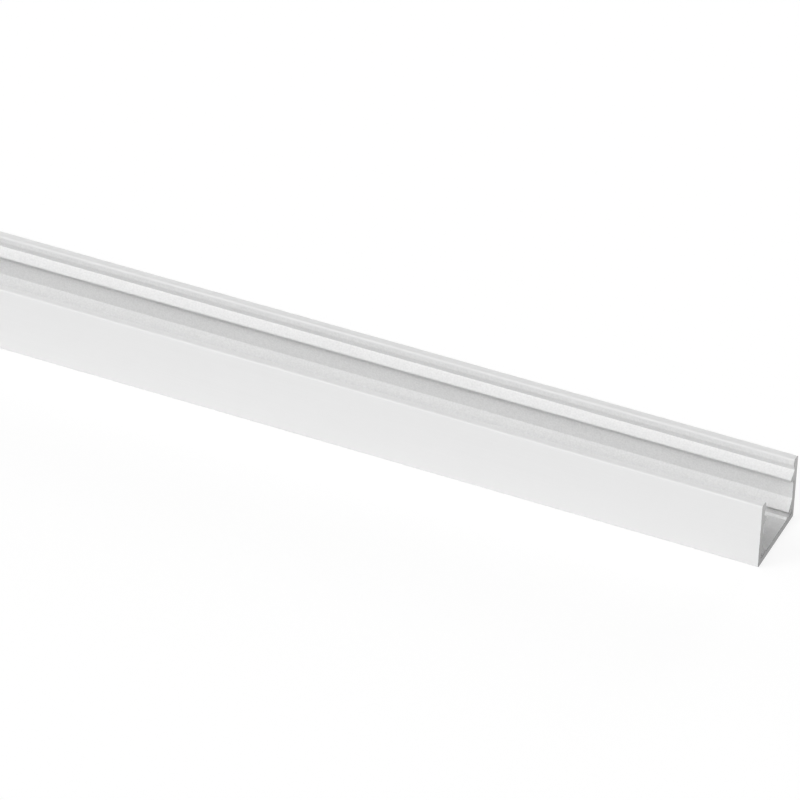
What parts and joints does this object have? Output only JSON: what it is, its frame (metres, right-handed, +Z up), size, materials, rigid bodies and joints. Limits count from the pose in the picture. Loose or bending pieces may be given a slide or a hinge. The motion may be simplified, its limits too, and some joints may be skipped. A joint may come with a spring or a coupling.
{
  "type": "led strip aluminium profile",
  "caption": "Straight U-shaped extruded channel for a light strip, white outside and in, with barbs inside both walls for a snap-in cover and a slot over the floor.",
  "frame": {"origin": "middle of the bar's length and width, on the underside of the base", "axes": "+X along the bar, +Y across it, +Z up out of the open side"},
  "size_m": [1, 0.018, 0.014],
  "materials": {
    "white_coat": "white powder coat, satin, with bare saw-cut aluminium on the two end faces"
  },
  "bodies": {
    "root": {"profile": "white_coat"}
  },
  "joints": []
}
